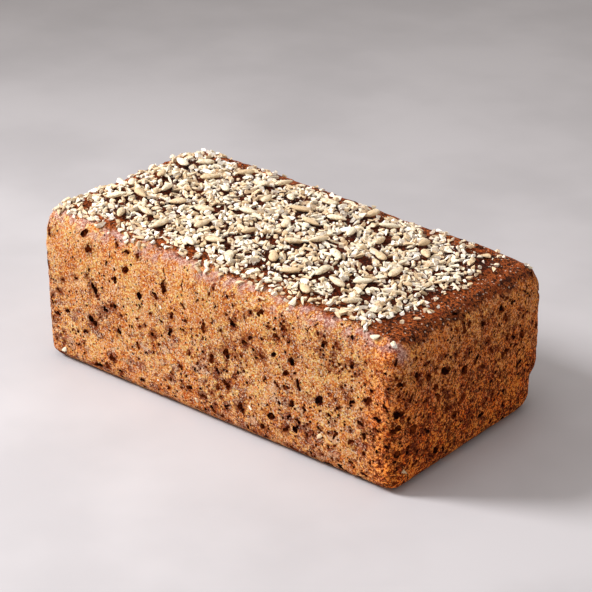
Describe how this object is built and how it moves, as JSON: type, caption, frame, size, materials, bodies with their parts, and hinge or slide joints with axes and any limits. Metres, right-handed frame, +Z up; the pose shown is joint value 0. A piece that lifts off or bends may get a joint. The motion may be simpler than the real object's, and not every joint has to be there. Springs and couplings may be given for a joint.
{
  "type": "tin loaf",
  "caption": "Seeded wholegrain loaf baked in a tin: flat walls, softly rounded edges, and a low domed top crust strewn with sunflower kernels.",
  "frame": {"origin": "middle of the base, on the surface that the loaf rests on", "axes": "+X along the loaf, +Y across it, +Z up through the top crust"},
  "size_m": [0.222, 0.1194, 0.0851],
  "materials": {
    "crust": "matte",
    "kernel": "satin"
  },
  "bodies": {
    "root": {"loaf": "crust", "kernel_01": "kernel", "kernel_02": "kernel", "kernel_03": "kernel", "kernel_04": "kernel", "kernel_05": "kernel", "kernel_06": "kernel", "kernel_07": "kernel", "kernel_08": "kernel", "kernel_09": "kernel", "kernel_10": "kernel", "kernel_11": "kernel", "kernel_12": "kernel", "kernel_13": "kernel", "kernel_14": "kernel", "kernel_15": "kernel", "kernel_16": "kernel", "kernel_17": "kernel", "kernel_18": "kernel", "kernel_19": "kernel", "kernel_20": "kernel", "kernel_21": "kernel", "kernel_22": "kernel", "kernel_23": "kernel", "kernel_24": "kernel", "kernel_25": "kernel", "kernel_26": "kernel", "kernel_27": "kernel", "kernel_28": "kernel", "kernel_29": "kernel", "kernel_30": "kernel", "kernel_31": "kernel", "kernel_32": "kernel", "kernel_33": "kernel", "kernel_34": "kernel", "kernel_35": "kernel", "kernel_36": "kernel", "kernel_37": "kernel", "kernel_38": "kernel", "kernel_39": "kernel", "kernel_40": "kernel", "kernel_41": "kernel", "kernel_42": "kernel", "kernel_43": "kernel", "kernel_44": "kernel", "kernel_45": "kernel", "kernel_46": "kernel", "kernel_47": "kernel", "kernel_48": "kernel"}
  },
  "joints": []
}
